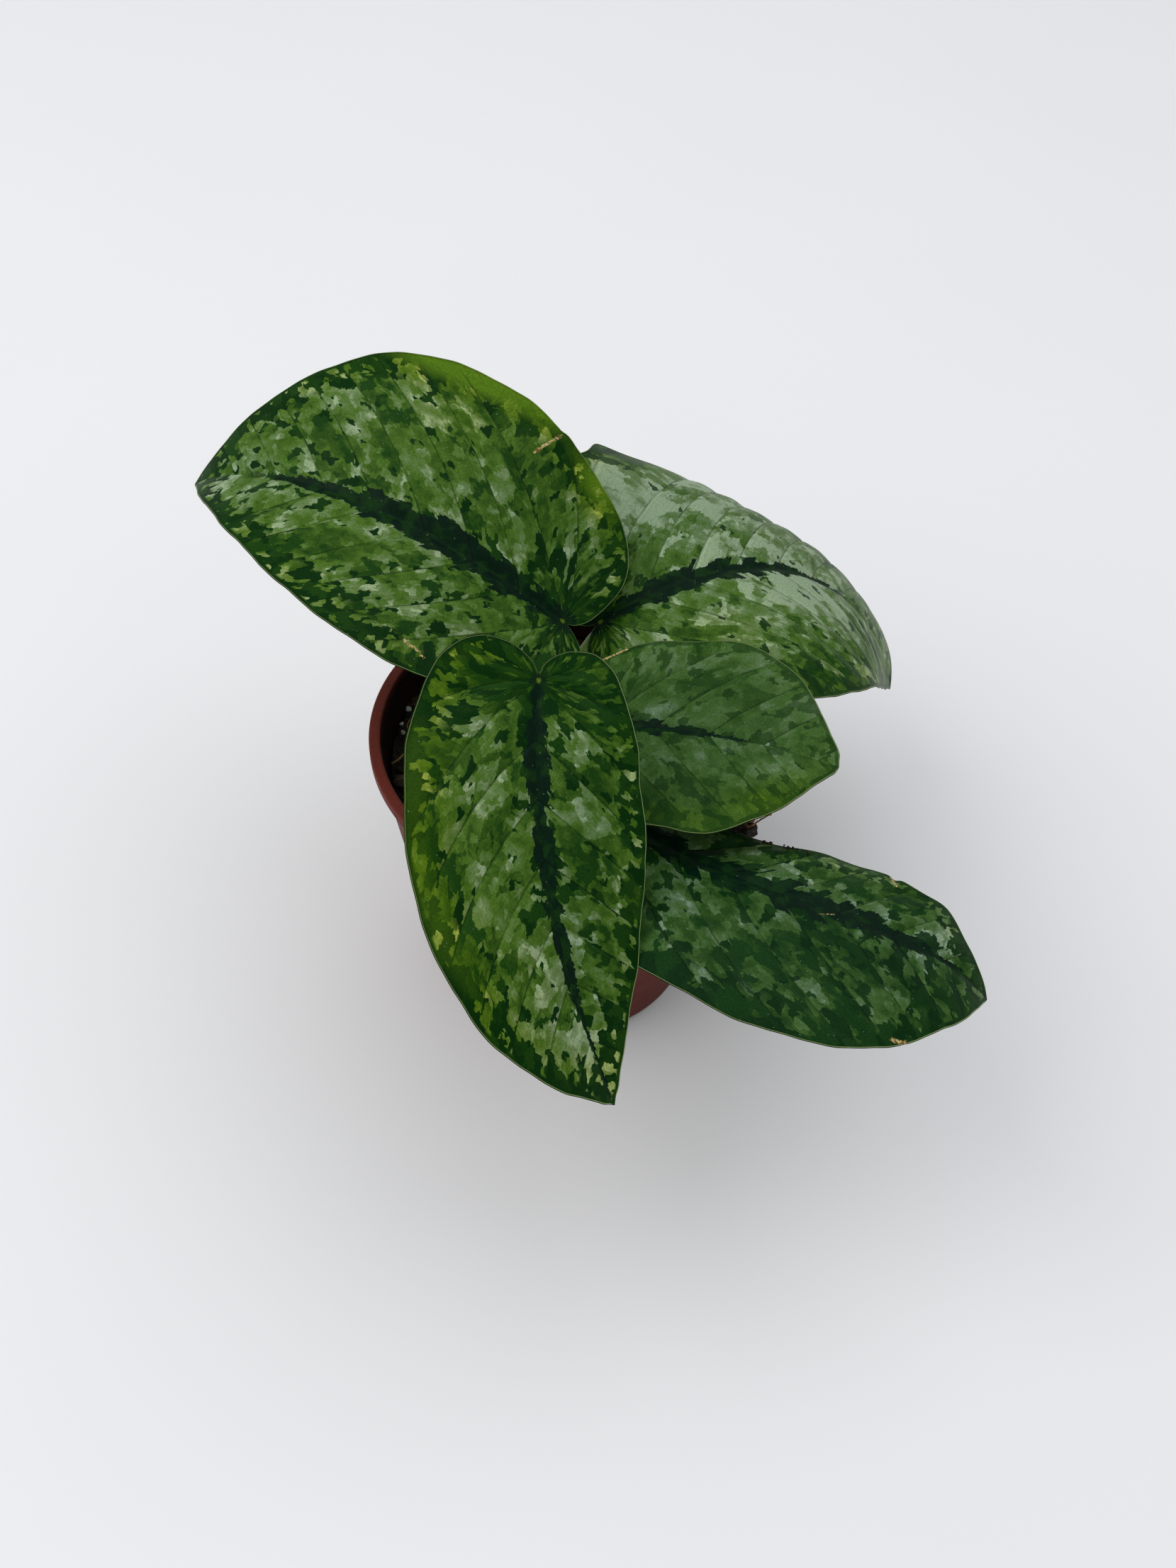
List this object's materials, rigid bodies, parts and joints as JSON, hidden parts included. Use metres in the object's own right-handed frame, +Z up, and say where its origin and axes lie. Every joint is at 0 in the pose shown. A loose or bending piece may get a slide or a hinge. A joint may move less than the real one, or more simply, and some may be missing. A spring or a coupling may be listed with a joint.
{
  "type": "potted gunung scindapsus",
  "caption": "Young climbing aroid with broad silver-patterned leaves on short stalks, rooted in soil in a small round nursery pot.",
  "frame": {"origin": "centre of the pot's flat underside", "axes": "+Z up along the pot's axis, +X to the viewer's right and -Y towards the viewer of the picture"},
  "size_m": [0.1754, 0.1735, 0.1297],
  "materials": {
    "pot": "matte",
    "soil": "matte",
    "stem": "satin",
    "leaf": "satin"
  },
  "bodies": {
    "root": {"pot": "pot", "soil": "soil", "stem": "stem", "leaf_back_left": "leaf", "leaf_back_right": "leaf", "leaf_front": "leaf", "leaf_small_right": "leaf", "leaf_low_right": "leaf"}
  },
  "joints": []
}
